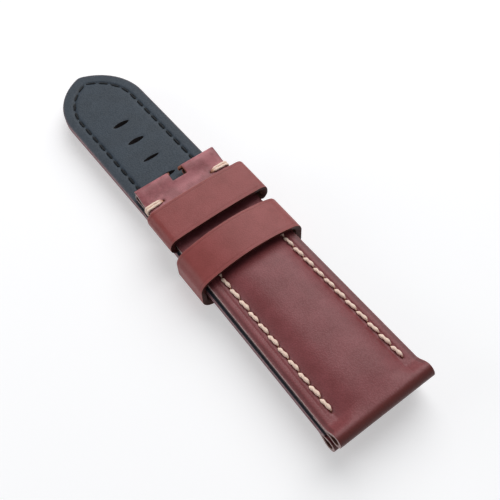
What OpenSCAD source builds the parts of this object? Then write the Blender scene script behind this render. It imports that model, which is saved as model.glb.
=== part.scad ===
// Two-piece padded leather watch strap, packed flat: the tail half lies under
// the buckle half, lining to lining, and the free keeper holds both together.
// Each half is drawn in its own frame: X across the strap, Y from its lug end,
// Z up from the outer face of its lining. The part's origin is on the surface
// that it lies on, at the middle of its length and width.

/* [Strap] */
// Width at the lugs, both halves
lug_w = 24; // [22:0.5:26]
// Width at the buckle
buckle_w = 22; // [20:0.5:23]
// Width of the tail where it passes the buckle
tail_w = 21.2; // [19:0.1:22]
// Length of the buckle half
buckle_half_len = 75; // [74:0.5:90]
// Length of the tail half
tail_half_len = 117.6; // [105:0.5:135]
// Length over which the tail half narrows
tail_taper_len = 70; // [56:1:80]

/* [Layers] */
// Face leather
leather_t = 0.8; // [0.7:0.05:1]
// Lining leather
lining_t = 0.8; // [0.7:0.05:1]
// Interlining, folded-in flap and skived keeper leg between face and lining
core_t = 0.4; // [0.3:0.05:0.6]
// Thickness of a half over its padding
padded_t = 4.2; // [4:0.05:5]
// Where the padding begins to thin out, from the lug end
pad_flat_end = 36; // [25:0.5:38]
// Where the padding has run out, from the lug end
pad_end = 51; // [46:0.5:52]
// Room between the padding and the leather drawn over it
pad_gap = 0.05; // [0.02:0.01:0.08]

/* [Lug roll] */
// Bore for the spring bar
bar_d = 2; // [1.8:0.1:2.2]
// Height of the roll's underside over the lining's outer face
roll_lift = 0.2; // [0.1:0.05:0.3]
// Where the margins have come down from the roll
roll_run = 6; // [5:0.1:6.2]
// Where the padding has risen to full thickness
pad_rise_end = 9; // [7:0.5:14]
// End of the flap that the roll is glued down with
lug_flap_end = 8; // [6:0.5:12]

/* [Buckle end] */
// Bore for the buckle's bar
buckle_bar_d = 1.8; // [1.5:0.1:2]
// Leather skived round the buckle's bar
fold_t = 0.6; // [0.5:0.05:0.7]
// Length over which the end rises to its fold
fold_run = 5.5; // [4.5:0.1:5.8]
// Length of the flap folded back under the end
fold_flap_len = 9; // [8:0.1:9.2]
// Width of the cut-out for the buckle's tongue
notch_w = 4; // [3:0.1:6]
// Depth of the cut-out for the buckle's tongue
notch_depth = 3.3; // [2:0.1:3.5]
// Rounding of the corners at the mouth of the cut-out
notch_r = 0.9; // [0.3:0.1:1.2]
// Rounding of the end's outer corners
corner_r = 0.8; // [0.3:0.1:1.5]

/* [Seams] */
// Distance of the seams from the edge
seam_inset = 2.9; // [2.4:0.1:3.2]
// Distance from a seam to the foot of the padding
seam_to_pad = 0.4; // [0.4:0.05:0.8]
// First needle hole, from the lug end
seam_start = 6.5; // [6.3:0.1:8]
// Last needle hole of the buckle half's seams, from the lug end
seam_end = 47; // [40:0.1:50]
// Distance between needle holes
stitch_pitch = 3.38; // [2.5:0.01:4.5]
// Thickness of the face thread
thread_d = 0.5; // [0.3:0.01:0.6]
// Thickness of the thread on the lining side
bobbin_d = 0.32; // [0.2:0.01:0.34]
// Depth of the pressed groove that the lining thread lies in
groove_depth = 0.4; // [0.38:0.01:0.5]
// Width of that groove
groove_w = 0.7; // [0.5:0.05:1]

/* [Tack stitches] */
// Distance of the tacks from the buckle end
tack_from_end = 6.3; // [6:0.1:7]
// Reach of a tack in from the edge
tack_len = 4.2; // [3:0.1:5]
// Width of a tack's strands
tack_w = 1.3; // [0.8:0.1:1.4]
// Thickness of a tack's strands
tack_t = 0.5; // [0.35:0.05:0.55]

/* [Tail] */
// Radius of the tail's shoulders
shoulder_r = 15.3; // [14:0.1:24]
// Radius of the blunt tip
tip_r = 2.4; // [1.5:0.1:5]
// Number of tang holes
hole_count = 7; // [5:1:8]
// Distance between tang holes
hole_pitch = 7; // [6:0.1:7]
// First tang hole, from the tip
hole_from_tip = 21.5; // [19:0.1:26]
// Length of a tang hole, across the strap
hole_len = 4.5; // [3:0.1:5.5]
// Width of a tang hole, along the strap
hole_w = 1.3; // [1:0.1:2]

/* [Keepers] */
// Width of both keepers, along the strap
keeper_w = 9.6; // [8:0.1:9.8]
// Leather of the keepers
keeper_t = 1.3; // [1:0.05:1.5]
// Gap from the free keeper to the fixed one as packed
keepers_apart = 2.8; // [2.6:0.1:6]
// Room inside the free keeper over and under the padded halves
keeper_gap_z = 0.2; // [0.15:0.05:0.4]
// Room inside the free keeper beside the lug width
keeper_gap_x = 0.5; // [0.5:0.05:0.8]
// Radius that the free keeper's top is bowed to, inside
keeper_bow_r = 36; // [36:1:90]
// Inside radius of the free keeper's upper bends
keeper_top_r = 1.2; // [0.8:0.1:1.2]
// Inside radius of the free keeper's lower bends
keeper_low_r = 2; // [1:0.1:2]
// Fixed keeper's near edge, from the buckle end
fixed_keeper_from_end = 19.2; // [19:0.1:19.5]
// Height inside the fixed keeper, over the face of the strap
fixed_loop_h = 2.1; // [2:0.1:2.6]
// Room beside the strap inside the fixed keeper
fixed_gap_x = 0.85; // [0.5:0.05:1]
// Sideways set of the fixed keeper
fixed_keeper_x = 0.3; // [0:0.05:0.3]
// Inside radius of the fixed keeper's bends
fixed_bend_r = 0.8; // [0.5:0.1:1.2]
// Clearance where glued pieces meet edge to edge
butt_gap = 0.2; // [0.1:0.05:0.3]

/* [Packing] */
// Gap between the linings of the two halves
halves_gap = 0.2; // [0.15:0.05:0.4]
// How far the tail half's lug end lies behind the buckle half's
tail_back = 1.2; // [0:0.1:2]
// Sideways set of the tail half at its lug end
tail_x = -0.3; // [-0.35:0.05:0.35]
// Angle at which the tail half lies askew, degrees
tail_yaw = 0.6; // [0:0.05:0.75]
// How far the tail's tip hangs down under its own weight
tail_droop = 0.6; // [0:0.1:1.5]
// Where the tail begins to hang, from its lug end
droop_start = 64; // [56:1:80]

/* [Hidden] */

leather_colour = "#8a5552";
keeper_colour = "#8c5550";
lining_colour = "#454e57";
core_colour = "#b9a98f";
padding_colour = "#c9a97c";
thread_colour = "#f0d8c0";
bobbin_colour = "#2a2f34";

eps = 0.01;
margin_t = lining_t + core_t + leather_t;
base_z = lining_t + core_t;
roll_r = bar_d / 2 + leather_t;
roll_z = roll_lift + roll_r;
roll_top = roll_z + roll_r;
fold_r = buckle_bar_d / 2 + fold_t;
fold_y = buckle_half_len - fold_r;
flap_y = buckle_half_len - fold_flap_len;
tack_y = buckle_half_len - tack_from_end;
fixed_keeper_y = buckle_half_len - fixed_keeper_from_end;
fixed_end_y = fixed_keeper_y + keeper_w;
free_keeper_y = fixed_keeper_y - keepers_apart - keeper_w;
pad_start = 2 * roll_r + pad_gap;
pad_foot = seam_inset + seam_to_pad;
dome_power = 3;
dome_steps = 12;
arc_steps = 10;
roll_flats = 36;
droop_steps = 10;

// Tip of the tail: two shoulder arcs that meet in a rounding
shoulder_x = tail_w / 2 - shoulder_r;
shoulder_y = tail_half_len - tip_r - sqrt(pow(shoulder_r - tip_r, 2) - pow(shoulder_x, 2));
least_tip_r = 0.8;

// Heights and lengths of the packed strap
free_in_low = -halves_gap - padded_t - keeper_gap_z;
free_in_top = padded_t + keeper_gap_z;
lining_h = keeper_t - free_in_low;
strap_len = tail_back + (tail_half_len - tip_r) * cos(tail_yaw) + tip_r;

// A smooth step from 0 at a to 1 at b
function smooth(a, b, y) = let(t = max(0, min(1, (y - a) / (b - a)))) t * t * (3 - 2 * t);

// Half the width at y: straight past the roll, then tapering to the narrow end
function taper(y, narrow, end) =
    (lug_w + (narrow - lug_w) * max(0, min(1, (y - 2 * roll_r) / (end - 2 * roll_r)))) / 2;
function buckle_hw(y) = taper(y, buckle_w, buckle_half_len - 2 * fold_r);
function tail_hw(y) = taper(y, tail_w, tail_taper_len);

// Height of the margins over their flat run: the lug roll, and the fold at the buckle
function roll_rise(y) = (roll_top - margin_t) * (1 - smooth(roll_r, roll_run, y));
function fold_rise(y) = (2 * fold_r - margin_t) * smooth(buckle_half_len - fold_run, fold_y, y);

// Height of the crown over the margins, along the middle and at x
function dome(y) = roll_top + (padded_t - roll_top) * smooth(roll_r, pad_rise_end, y)
    - (padded_t - margin_t) * smooth(pad_flat_end, pad_end, y) - margin_t - roll_rise(y);
function dome_at(x, foot, h) = max(0, h) * (1 - pow(abs(x) / foot, dome_power));

// Places along the strap where the padded stretch gets a section
near_stations = [for (i = [0:5]) pad_start + (pad_rise_end - pad_start) * i / 5];
far_stations = [for (i = [0:5]) pad_flat_end + (pad_end - pad_flat_end) * i / 5];
padded_stations = concat([roll_r, (roll_r + pad_start) / 2], near_stations, far_stations);
pad_places = concat(near_stations, [for (y = far_stations) if (dome(y) > 4 * pad_gap) y]);
neck_stations = concat([pad_end], [for (i = [0:5]) buckle_half_len - fold_run + (fold_run - fold_r) * i / 5]);

// Section of the face leather: margins at both sides and the crown between them
function face_section(hw, y, rise) = let(foot = hw - pad_foot, h = dome(y), top = margin_t + rise)
    concat([[-hw, base_z], [-hw, top]],
        [for (i = [0:dome_steps]) let(x = foot * (2 * i / dome_steps - 1))
            [x, top + dome_at(x, foot, h)]],
        [[hw, top], [hw, base_z]],
        [for (i = [dome_steps:-1:0]) let(x = foot * (2 * i / dome_steps - 1))
            [x, base_z + dome_at(x, foot, h)]]);

// Section of the face leather between the padding and the buckle
function neck_section(hw, rise) = [[-hw, base_z], [-hw, margin_t + rise], [hw, margin_t + rise], [hw, base_z]];

// Section of the padding, which fills the crown
function pad_section(hw, y) = let(foot = hw - pad_foot, edge = foot * 0.96, h = dome(y))
    concat([[-edge, base_z]],
        [for (i = [0:dome_steps]) let(x = edge * (2 * i / dome_steps - 1))
            [x, base_z + max(eps, dome_at(x, foot, h) - pad_gap)]],
        [[edge, base_z]]);

// End faces of the face leather's section: a strip from margin to margin
face_ends = let(under = 2 * dome_steps + 5) concat([[0, 1, 2, under]],
    [for (i = [0:dome_steps - 1]) [i + 2, i + 3, under - i - 1, under - i]],
    [[dome_steps + 2, dome_steps + 3, dome_steps + 4, dome_steps + 5]]);

// Solid through a list of sections of [x, z] points at places ys
module loft(sections, ys, end_faces = []) {
    n = len(sections[0]);
    last = len(ys) - 1;
    near = len(end_faces) > 0 ? end_faces : [[for (i = [0:n - 1]) i]];
    points = [for (k = [0:last]) for (p = sections[k]) [p[0], ys[k], p[1]]];
    sides = [for (k = [0:last - 1]) for (i = [0:n - 1]) let(j = (i + 1) % n, a = k * n, b = a + n)
        for (f = [[a + i, b + j, a + j], [a + i, b + i, b + j]]) f];
    far = [for (f = near) [for (i = [len(f) - 1:-1:0]) last * n + f[i]]];
    polyhedron(points, concat(sides, near, far), convexity = 4);
}

// Bore across the strap, at y and z
module across(r, y, z, length) {
    translate([0, y, z]) rotate([0, 90, 0]) cylinder(r = r, h = length, center = true, $fn = 64);
}

// Leather rolled round a bore: a bar with flats, which the sheet runs off at its top edge
module rolled(r, y, z, width) {
    translate([-width / 2, y, z]) rotate([90, 0, 90]) linear_extrude(width)
        polygon([for (i = [0:roll_flats - 1]) r * [cos(360 * i / roll_flats), sin(360 * i / roll_flats)]]);
}

// Flat layer of the buckle half from ya to yb
module buckle_layer(ya, yb, z, t) {
    translate([0, 0, z]) linear_extrude(t) polygon([[-buckle_hw(ya), ya], [buckle_hw(ya), ya],
        [buckle_hw(yb), yb], [-buckle_hw(yb), yb]]);
}

// Right side of the tail from y0 to the middle of its tip, drawn in by inset
function tail_side(y0, inset) = let(
        r = shoulder_r - inset,
        rt = max(least_tip_r, tip_r - inset),
        yt = shoulder_y + sqrt(pow(r - rt, 2) - pow(shoulder_x, 2)),
        turn = atan2(yt - shoulder_y, -shoulder_x))
    concat([[tail_hw(y0) - inset, y0]],
        y0 < tail_taper_len - 1 ? [[tail_w / 2 - inset, tail_taper_len]] : [],
        [for (i = [0:arc_steps]) let(a = turn * i / arc_steps)
            [shoulder_x + r * cos(a), shoulder_y + r * sin(a)]],
        [for (i = [1:arc_steps]) let(a = turn + (90 - turn) * i / arc_steps)
            [rt * cos(a), yt + rt * sin(a)]]);
function mirrored(side) = [for (i = [len(side) - 2:-1:0]) [-side[i][0], side[i][1]]];
function tail_outline(y0, inset) = let(side = tail_side(y0, inset)) concat(side, mirrored(side));

// How far the tail hangs at y, and the places along it where that is drawn
function droop(y) = tail_droop * pow(max(0, (y - droop_start) / (tail_half_len - droop_start)), 2);
droop_stations = concat([0], [for (i = [0:droop_steps]) droop_start
    + (tail_half_len + 1 - droop_start) * i / droop_steps]);

// Layer of the tail half within a plan outline, hanging at its end
module tail_sheet(outline, z, t) {
    intersection() {
        translate([0, 0, -2]) linear_extrude(margin_t + tail_droop + 4) polygon(outline);
        translate([-lug_w, 0, z]) rotate([90, 0, 90]) linear_extrude(2 * lug_w) polygon(concat(
            [for (y = droop_stations) [y, droop(y)]],
            [for (i = [len(droop_stations) - 1:-1:0]) [droop_stations[i], t + droop(droop_stations[i])]]));
    }
}
module tail_layer(y0, z, t) {
    tail_sheet(tail_outline(y0, 0), z, t);
}

// Tang holes in the tail, as slots across it
module tang_holes() {
    for (k = [0:hole_count - 1]) translate([0, tail_half_len - hole_from_tip - k * hole_pitch, -1])
        linear_extrude(margin_t + 2) {
            square([hole_len - hole_w, hole_w], center = true);
            for (s = [-1, 1]) translate([s * (hole_len - hole_w) / 2, 0]) circle(d = hole_w, $fn = 32);
        }
}

// Lengths along a path of points, and the point at length s
function lengths(p, i = 0, sum = [0]) = i >= len(p) - 1 ? sum
    : lengths(p, i + 1, concat(sum, sum[i] + norm(p[i + 1] - p[i])));
function point_at(p, c, s) = let(i = max([for (k = [0:len(c) - 2]) if (c[k] <= s + eps) k]))
    p[i] + (p[i + 1] - p[i]) * (s - c[i]) / (c[i + 1] - c[i]);

// One stitch along X: thickest in the middle and drawn in at its needle holes
module stitch(length, d) {
    body = length - 2 * d;
    rotate([0, 90, 0]) {
        cylinder(r = d / 2, h = body, center = true, $fn = 24);
        for (s = [0, 1]) mirror([0, 0, s]) translate([0, 0, body / 2])
            cylinder(r1 = d / 2, r2 = d / 4, h = d / 2, $fn = 24);
    }
}

// A seam of stitches on a path of points, its thread's middle at height z, hanging with the tail or not
module seam(path, d, z, hang = 0) {
    c = lengths(path);
    total = c[len(c) - 1];
    count = 2 * round(total / stitch_pitch / 2);
    step = total / count;
    for (k = [0:count - 1]) {
        a = point_at(path, c, k * step);
        b = point_at(path, c, (k + 1) * step);
        za = z + hang * droop(a[1]);
        zb = z + hang * droop(b[1]);
        translate([(a[0] + b[0]) / 2, (a[1] + b[1]) / 2, (za + zb) / 2])
            rotate([0, -atan2(zb - za, norm(b - a)), atan2(b[1] - a[1], b[0] - a[0])])
                stitch(norm(b - a), d);
    }
}

function buckle_seam(side) = [for (y = [seam_start, seam_end]) [side * (buckle_hw(y) - seam_inset), y]];
tail_seam = tail_outline(seam_start, seam_inset);
face_thread_z = margin_t + thread_d / 2 + 2 * eps;
lining_thread_z = groove_depth / 2;

// Lug end of either half: the rolled tube, the sheet over it and the glued-down flap
module lug_roll() {
    flap_start = roll_r + bar_d / 2 + 0.1;
    rolled(roll_r, roll_r, roll_z, lug_w);
    translate([-lug_w / 2, flap_start, lining_t]) cube([lug_w, lug_flap_end - flap_start, core_t]);
}

// Fold at the buckle end: tube round the bar, filled neck and flap under the end
module buckle_fold() {
    rolled(fold_r, fold_y, fold_r, buckle_w);
    buckle_layer(fold_y - fold_r, fold_y, lining_t - eps, core_t + 2 * eps);
    buckle_layer(flap_y, fold_y, 0, lining_t);
}

// Cut-out for the tongue, with rounded corners at its mouth
module notch() {
    translate([0, buckle_half_len, -1]) linear_extrude(2 * fold_r + 2) {
        translate([-notch_w / 2, -notch_depth]) square([notch_w, notch_depth + 1]);
        for (s = [0, 1]) mirror([s, 0]) translate([notch_w / 2 - eps, -notch_r]) difference() {
            square([notch_r, notch_r + 1]);
            translate([notch_r, 0]) circle(r = notch_r, $fn = 48);
        }
    }
}

// What comes off the buckle end's outer corners
module end_corners() {
    for (s = [0, 1]) mirror([s, 0, 0])
        translate([buckle_w / 2 - corner_r, buckle_half_len - corner_r, -1]) linear_extrude(2 * fold_r + 2)
            difference() {
                square(corner_r + 1);
                circle(r = corner_r, $fn = 48);
            }
}

// Recesses on the underside that the tacks' lower strands are pulled into
module tack_recesses() {
    for (s = [0, 1]) mirror([s, 0, 0])
        translate([buckle_hw(tack_y) - tack_len - 0.2, tack_y - tack_w / 2 - 0.1, -1])
            cube([tack_len + 2, tack_w + 0.2, 1 + tack_t + 0.1]);
}

module buckle_half_face_leather() {
    color(leather_colour) on_buckle_half() difference() {
        union() {
            loft([for (y = padded_stations) face_section(buckle_hw(y), y, roll_rise(y))],
                padded_stations, face_ends);
            loft([for (y = neck_stations) neck_section(buckle_hw(y), fold_rise(y))], neck_stations);
            lug_roll();
            buckle_fold();
        }
        across(bar_d / 2, roll_r, roll_z, lug_w + 2);
        across(buckle_bar_d / 2, fold_y, fold_r, buckle_w + 2);
        notch();
        end_corners();
        tack_recesses();
    }
}

module buckle_half_padding() {
    color(padding_colour) on_buckle_half()
        loft([for (y = pad_places) pad_section(buckle_hw(y), y)], pad_places);
}

module buckle_half_interlining() {
    color(core_colour) on_buckle_half()
        buckle_layer(lug_flap_end + butt_gap, fixed_keeper_y - butt_gap, lining_t, core_t);
}

module buckle_end_reinforcement() {
    color(core_colour) on_buckle_half()
        buckle_layer(fixed_end_y + butt_gap, fold_y - fold_r - butt_gap, lining_t, core_t);
}

// The lining, with a pressed groove under each seam
module buckle_half_lining() {
    start = roll_r + sqrt(pow(roll_r, 2) - pow(roll_z - lining_t, 2)) + eps;
    color(lining_colour) on_buckle_half() difference() {
        buckle_layer(start, flap_y - butt_gap, 0, lining_t);
        for (s = [-1, 1]) translate([0, 0, -1]) linear_extrude(1 + groove_depth)
            polygon([for (c = [[seam_start, -1], [seam_start, 1], [seam_end, 1], [seam_end, -1]])
                [s * (buckle_hw(c[0]) - seam_inset) + c[1] * groove_w / 2, c[0]]]);
    }
}

module buckle_half_seam_thread_left() {
    color(thread_colour) on_buckle_half() seam(buckle_seam(-1), thread_d, face_thread_z);
}

module buckle_half_seam_thread_right() {
    color(thread_colour) on_buckle_half() seam(buckle_seam(1), thread_d, face_thread_z);
}

module buckle_half_lining_thread_left() {
    color(bobbin_colour) on_buckle_half() seam(buckle_seam(-1), bobbin_d, lining_thread_z);
}

module buckle_half_lining_thread_right() {
    color(bobbin_colour) on_buckle_half() seam(buckle_seam(1), bobbin_d, lining_thread_z);
}

// Tack: strands over the edge of the fold, from a needle hole in the face to one below
module tack(side) {
    edge = buckle_hw(tack_y);
    top = margin_t + eps;
    mirror([side < 0 ? 1 : 0, 0, 0]) translate([0, tack_y + tack_w / 2, 0]) rotate([90, 0, 0])
        linear_extrude(tack_w) difference() {
            translate([edge - tack_len, eps + 0.05]) square([tack_len + tack_t + 0.05, top + tack_t - 0.05]);
            translate([edge - tack_len - 1, tack_t + 0.05]) square([tack_len + 1.05, top - tack_t - 0.05]);
        }
}

module tack_stitch_left() {
    color(thread_colour) on_buckle_half() tack(-1);
}

module tack_stitch_right() {
    color(thread_colour) on_buckle_half() tack(1);
}

// Outline of a keeper's band, e outside its inner face: a bowed top and four bends
function band(hw, low, top, bow_r, top_r, low_r, e) = let(
        bow_z = top - bow_r,
        bend_x = hw - top_r,
        bend_z = bow_z + sqrt(pow(bow_r - top_r, 2) - pow(bend_x, 2)),
        turn = atan2(bend_z - bow_z, bend_x),
        right = concat(
            [for (i = [0:8]) let(a = -90 + 90 * i / 8)
                [hw - low_r + (low_r + e) * cos(a), low + low_r + (low_r + e) * sin(a)]],
            [for (i = [0:8]) let(a = turn * i / 8)
                [bend_x + (top_r + e) * cos(a), bend_z + (top_r + e) * sin(a)]],
            [for (i = [1:8]) let(a = turn + (90 - turn) * i / 8)
                [(bow_r + e) * cos(a), bow_z + (bow_r + e) * sin(a)]]))
    concat(right, mirrored(right));

// A keeper's band, keeper_w long, from the near edge y
module keeper_band(y, outer, inner) {
    translate([0, y + keeper_w, 0]) rotate([90, 0, 0]) linear_extrude(keeper_w) difference() {
        polygon(outer);
        polygon(inner);
    }
}

// The fixed keeper's ends are skived and run through the strap, between face and lining
module fixed_keeper() {
    hw = buckle_hw(fixed_keeper_y) + fixed_gap_x;
    top = margin_t + fixed_loop_h;
    low = lining_t / 4 + keeper_t;
    strap_edge = buckle_hw(fixed_keeper_y) + 5 * eps;
    color(keeper_colour) on_buckle_half() {
        difference() {
            translate([fixed_keeper_x, 0, 0]) keeper_band(fixed_keeper_y,
                band(hw, low, top, 150, fixed_bend_r, fixed_bend_r, keeper_t),
                band(hw, low, top, 150, fixed_bend_r, fixed_bend_r, 0));
            translate([-strap_edge, fixed_keeper_y - 1, -keeper_t])
                cube([2 * strap_edge, keeper_w + 2, margin_t + keeper_t]);
        }
        translate([-strap_edge - eps, fixed_keeper_y, lining_t])
            cube([2 * strap_edge + 2 * eps, keeper_w, core_t]);
    }
}

module free_keeper() {
    hw = lug_w / 2 + keeper_gap_x;
    color(keeper_colour) on_buckle_half() keeper_band(free_keeper_y,
        band(hw, free_in_low, free_in_top, keeper_bow_r, keeper_top_r, keeper_low_r, keeper_t),
        band(hw, free_in_low, free_in_top, keeper_bow_r, keeper_top_r, keeper_low_r, 0));
}

module tail_half_face_leather() {
    color(leather_colour) on_tail_half() difference() {
        union() {
            loft([for (y = padded_stations) face_section(tail_hw(y), y, roll_rise(y))],
                padded_stations, face_ends);
            tail_layer(pad_end, base_z, leather_t);
            lug_roll();
        }
        across(bar_d / 2, roll_r, roll_z, lug_w + 2);
        tang_holes();
    }
}

module tail_half_padding() {
    color(padding_colour) on_tail_half()
        loft([for (y = pad_places) pad_section(tail_hw(y), y)], pad_places);
}

module tail_half_interlining() {
    color(core_colour) on_tail_half() difference() {
        tail_layer(lug_flap_end + butt_gap, lining_t, core_t);
        tang_holes();
    }
}

// The lining, with a pressed groove under the seam all round
module tail_half_lining() {
    start = roll_r + sqrt(pow(roll_r, 2) - pow(roll_z - lining_t, 2)) + eps;
    outer = tail_outline(seam_start, seam_inset - groove_w / 2);
    inner = tail_outline(seam_start, seam_inset + groove_w / 2);
    color(lining_colour) on_tail_half() difference() {
        tail_layer(start, 0, lining_t);
        tail_sheet(concat(outer, [for (i = [len(inner) - 1:-1:0]) inner[i]]), groove_depth - 1, 1);
        tang_holes();
    }
}

module tail_half_seam_thread() {
    color(thread_colour) on_tail_half() seam(tail_seam, thread_d, face_thread_z, 1);
}

module tail_half_lining_thread() {
    color(bobbin_colour) on_tail_half() seam(tail_seam, bobbin_d, lining_thread_z, 1);
}

// Puts a half's frame in its place in the packed strap
module on_buckle_half() {
    translate([0, -strap_len / 2, lining_h]) children();
}
module on_tail_half() {
    translate([tail_x, tail_back - strap_len / 2, lining_h - halves_gap]) rotate(tail_yaw)
        mirror([0, 0, 1]) children();
}

buckle_half_face_leather();
buckle_half_padding();
buckle_half_interlining();
buckle_half_lining();
buckle_end_reinforcement();
buckle_half_seam_thread_left();
buckle_half_seam_thread_right();
buckle_half_lining_thread_left();
buckle_half_lining_thread_right();
tack_stitch_left();
tack_stitch_right();
fixed_keeper();
free_keeper();
tail_half_face_leather();
tail_half_padding();
tail_half_interlining();
tail_half_lining();
tail_half_seam_thread();
tail_half_lining_thread();
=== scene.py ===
import bpy
import math
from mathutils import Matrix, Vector


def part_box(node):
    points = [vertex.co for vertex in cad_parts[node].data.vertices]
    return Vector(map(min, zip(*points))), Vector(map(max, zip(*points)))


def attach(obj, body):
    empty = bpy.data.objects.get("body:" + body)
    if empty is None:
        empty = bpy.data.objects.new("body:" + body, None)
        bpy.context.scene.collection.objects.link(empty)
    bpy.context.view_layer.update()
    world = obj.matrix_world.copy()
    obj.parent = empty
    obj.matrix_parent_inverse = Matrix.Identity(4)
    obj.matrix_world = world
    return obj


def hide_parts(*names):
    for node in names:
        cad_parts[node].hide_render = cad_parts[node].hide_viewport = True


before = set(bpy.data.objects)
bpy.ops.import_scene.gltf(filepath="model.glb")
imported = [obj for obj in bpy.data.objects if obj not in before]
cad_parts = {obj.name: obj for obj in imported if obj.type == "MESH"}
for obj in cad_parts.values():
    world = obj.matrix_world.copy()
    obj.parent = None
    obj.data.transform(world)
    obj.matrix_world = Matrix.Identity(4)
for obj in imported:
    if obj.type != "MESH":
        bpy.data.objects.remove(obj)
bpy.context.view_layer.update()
mm = 0.001
print("frame loaded with", len(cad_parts), "nodes")

# sizes of the strap in millimetres, the same as in the CAD source
strap = {
    "lugWidth": 24.0, "buckleWidth": 22.0, "tailWidth": 21.2,
    "buckleHalf": 75.0, "tailHalf": 117.6, "tailTaper": 70.0,
    "leather": 0.8, "core": 0.4, "lining": 0.8, "paddedHeight": 4.2,
    "riseEnd": 9.0, "flatEnd": 36.0, "padEnd": 51.0, "padFoot": 3.3, "padStart": 3.65,
    "bore": 1.0, "rollLift": 0.2, "rollRun": 5.2, "lugFlap": 8.0,
    "foldBore": 0.9, "foldWall": 0.6, "foldRun": 5.5, "foldFlap": 66.0,
    "seamInset": 2.9, "leftSeam": (3.1, 3.3), "rightSeam": (2.4, 2.65),
    "seamStart": 6.5, "seamEnd": 47.0, "pitch": 3.375, "tailPitch": 3.38,
    "tailX": -0.3, "tailBack": 1.2, "tailYaw": 0.6, "tailDroop": 0.6, "droopStart": 64.0,
    "shoulder": 15.3, "tip": 2.4, "leastTip": 0.8,
    "firstHole": 21.5, "holePitch": 7.0, "holes": 7, "holeLength": 4.5, "holeWidth": 1.3,
    "tackAt": 68.7, "tackLength": 4.2, "keeperFrom": 55.8, "keeperTo": 65.4,
}
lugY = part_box("buckle_half_face_leather")[0].y / mm
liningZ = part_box("buckle_half_lining")[0].z / mm
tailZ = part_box("tail_half_lining")[1].z / mm
baseZ = strap["lining"] + strap["core"]
marginTop = baseZ + strap["leather"]
rollRadius = strap["bore"] + strap["leather"]
rollZ = strap["rollLift"] + rollRadius
rollTop = rollZ + rollRadius
foldRadius = strap["foldBore"] + strap["foldWall"]
foldY = strap["buckleHalf"] - foldRadius
shoulderX = strap["tailWidth"] / 2 - strap["shoulder"]
shoulderY = (strap["tailHalf"] - strap["tip"]
             - math.sqrt((strap["shoulder"] - strap["tip"]) ** 2 - shoulderX ** 2))


# from a half's own frame (across, along from its lug end, up from its lining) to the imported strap
def onBuckleHalf(x, y, z):
    return Vector((x, y + lugY, z + liningZ)) * mm


def onTailHalf(x, y, z):
    turn = math.radians(strap["tailYaw"])
    return Vector((strap["tailX"] + x * math.cos(turn) - y * math.sin(turn),
                   lugY + strap["tailBack"] + x * math.sin(turn) + y * math.cos(turn),
                   tailZ - z - droop(y))) * mm


def smooth(a, b, y):
    t = min(1, max(0, (y - a) / (b - a)))
    return t * t * (3 - 2 * t)


def bump(offset, width):
    return math.exp(-(offset / width) ** 2)


def taper(y, narrow, end):
    t = min(1, max(0, (y - 2 * rollRadius) / (end - 2 * rollRadius)))
    return (strap["lugWidth"] + (narrow - strap["lugWidth"]) * t) / 2


def buckleHalfWidth(y):
    return taper(y, strap["buckleWidth"], strap["buckleHalf"] - 2 * foldRadius)


# how far in from its edge a seam of the buckle half runs, a little askew as sewn by hand
def buckleSeamInset(side, y):
    first, last = strap["rightSeam" if side > 0 else "leftSeam"]
    return first + (last - first) * (y - strap["seamStart"]) / (strap["seamEnd"] - strap["seamStart"])


def tailHalfWidth(y):
    return taper(y, strap["tailWidth"], strap["tailTaper"])


def rollRise(y):
    return (rollTop - marginTop) * (1 - smooth(rollRadius, strap["rollRun"], y))


def foldRise(y):
    return (2 * foldRadius - marginTop) * smooth(strap["buckleHalf"] - strap["foldRun"], foldY, y)


def crown(y):
    height = rollTop + (strap["paddedHeight"] - rollTop) * smooth(rollRadius, strap["riseEnd"], y)
    fall = (strap["paddedHeight"] - marginTop) * smooth(strap["flatEnd"], strap["padEnd"], y)
    return max(0, height - fall - marginTop - rollRise(y))


def crownAt(x, foot, height):
    return height * (1 - min(1, abs(x) / foot) ** 3)


def droop(y):
    reach = strap["tailHalf"] - strap["droopStart"]
    return strap["tailDroop"] * max(0, (y - strap["droopStart"]) / reach) ** 2


# slow unevenness of pressed leather, from a few waves that never line up
def uneven(x, y, size):
    return size * (math.sin(0.61 * y + 0.9 * math.sin(0.35 * x)) * math.sin(0.47 * x + 0.3 * y + 1.3)
                   + 0.6 * math.sin(1.13 * y - 0.58 * x + 0.4) * math.sin(0.83 * x + 2.1))


def frange(start, stop, step):
    count = max(1, round((stop - start) / step))
    return [start + (stop - start) * k / count for k in range(count + 1)]


def onCircle(y, z, radius, turn):
    return y + radius * math.cos(turn), z + radius * math.sin(turn)


def runningLengths(points):
    lengths = [0.0]
    for a, b in zip(points, points[1:]):
        lengths.append(lengths[-1] + math.dist(a, b))
    return lengths


def clearSelection():
    if bpy.context.mode != "OBJECT":
        bpy.ops.object.mode_set(mode="OBJECT")
    bpy.ops.object.select_all(action="DESELECT")


def added(operator, name, **settings):
    clearSelection()
    operator(**settings)
    bpy.context.object.name = name
    return bpy.context.object


def choose(piece):
    clearSelection()
    piece.select_set(True)
    bpy.context.view_layer.objects.active = piece


def editAll(piece, operator, **settings):
    choose(piece)
    bpy.ops.object.mode_set(mode="EDIT")
    bpy.ops.mesh.select_all(action="SELECT")
    operator(**settings)
    bpy.ops.object.mode_set(mode="OBJECT")


def weld(piece):
    editAll(piece, bpy.ops.mesh.remove_doubles, threshold=0.006 * mm)


def turnOutwards(piece):
    editAll(piece, bpy.ops.mesh.normals_make_consistent, inside=False)


def applyModifier(piece, kind, **settings):
    choose(piece)
    modifier = piece.modifiers.new(kind.lower(), kind)
    for key, value in settings.items():
        setattr(modifier, key, value)
    bpy.ops.object.modifier_apply(modifier=modifier.name)


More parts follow.
